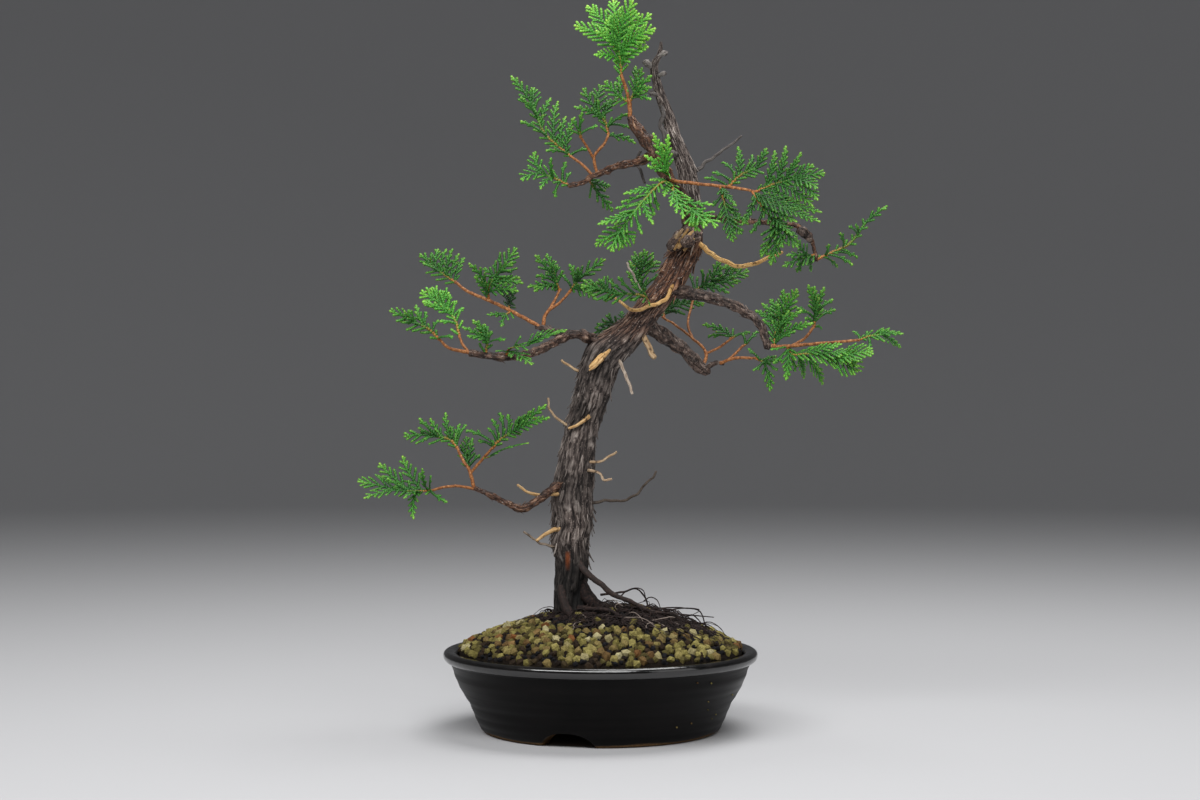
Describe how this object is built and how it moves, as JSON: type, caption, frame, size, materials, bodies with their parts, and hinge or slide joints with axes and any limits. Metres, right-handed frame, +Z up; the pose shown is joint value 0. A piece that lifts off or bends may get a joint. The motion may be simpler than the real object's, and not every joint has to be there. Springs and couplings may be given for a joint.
{
  "type": "eastern arborvitae bonsai",
  "caption": "Young arborvitae bonsai with a curved trunk, bleached stubs and flat leafy sprays, standing in a round shallow glazed pot of granular soil.",
  "frame": {"origin": "on the surface that the pot stands on, under the middle of the whole bonsai's box", "axes": "+Z up, +X to the right and -Y towards the viewer at the bonsai's front"},
  "size_m": [0.3344, 0.196, 0.4547],
  "materials": {
    "glaze": "near-black brown glaze, glossy on the lip and satin below",
    "screen_plastic": "matte",
    "grit": "rough, dry granules",
    "bark": "stringy, shredding bark",
    "young_bark": "smooth young bark",
    "foliage": "satin scale leaves"
  },
  "bodies": {
    "root": {"pot": "glaze", "drain_screen": "screen_plastic", "potting_soil": "grit", "trunk_and_branches": "bark", "twig_low_left": "young_bark", "twig_middle_left_long": "young_bark", "twig_middle_left_forked": "young_bark", "twig_middle_left_end": "young_bark", "twig_crown": "young_bark", "twig_upper_left_upright": "young_bark", "twig_upper_left_outer": "young_bark", "twig_upper_right": "young_bark", "twig_middle_right": "young_bark", "twig_inner_right_low": "young_bark", "twig_inner_right_back": "young_bark", "spray_low_left_tip": "foliage", "spray_low_left_upper": "foliage", "spray_low_left_stem_leaf": "foliage", "spray_low_left_fan": "foliage", "spray_low_left_edge": "foliage", "spray_middle_left_tip": "foliage", "spray_middle_left_bright": "foliage", "spray_middle_left_end_fan": "foliage", "spray_middle_left_edge": "foliage", "spray_upper_far_left": "foliage", "spray_long_twig_fan": "foliage", "spray_long_twig_under": "foliage", "spray_long_twig_dark": "foliage", "spray_forked_twig_left": "foliage", "spray_forked_twig_right": "foliage", "spray_trunk_left": "foliage", "spray_crown": "foliage", "spray_crown_right": "foliage", "spray_crown_left": "foliage", "spray_upper_left_tip": "foliage", "spray_upper_left_inner": "foliage", "spray_upper_left_front": "foliage", "spray_upper_left_end": "foliage", "spray_upper_left_hanging": "foliage", "spray_centre_upright": "foliage", "spray_centre_hanging": "foliage", "spray_centre_right": "foliage", "spray_upper_right_top": "foliage", "spray_upper_right_outer": "foliage", "spray_upper_right_low": "foliage", "spray_upper_right_inner": "foliage", "spray_far_right_low": "foliage", "spray_far_right_tip": "foliage", "spray_middle_right_upper": "foliage", "spray_middle_right_tall": "foliage", "spray_middle_right_tip": "foliage", "spray_middle_right_fan": "foliage", "spray_inner_right_low": "foliage", "spray_inner_right_leaf": "foliage", "spray_inner_right_back": "foliage", "spray_behind_right": "foliage", "spray_behind_trunk": "foliage", "spray_above_trunk": "foliage", "spray_behind_left": "foliage"}
  },
  "joints": []
}
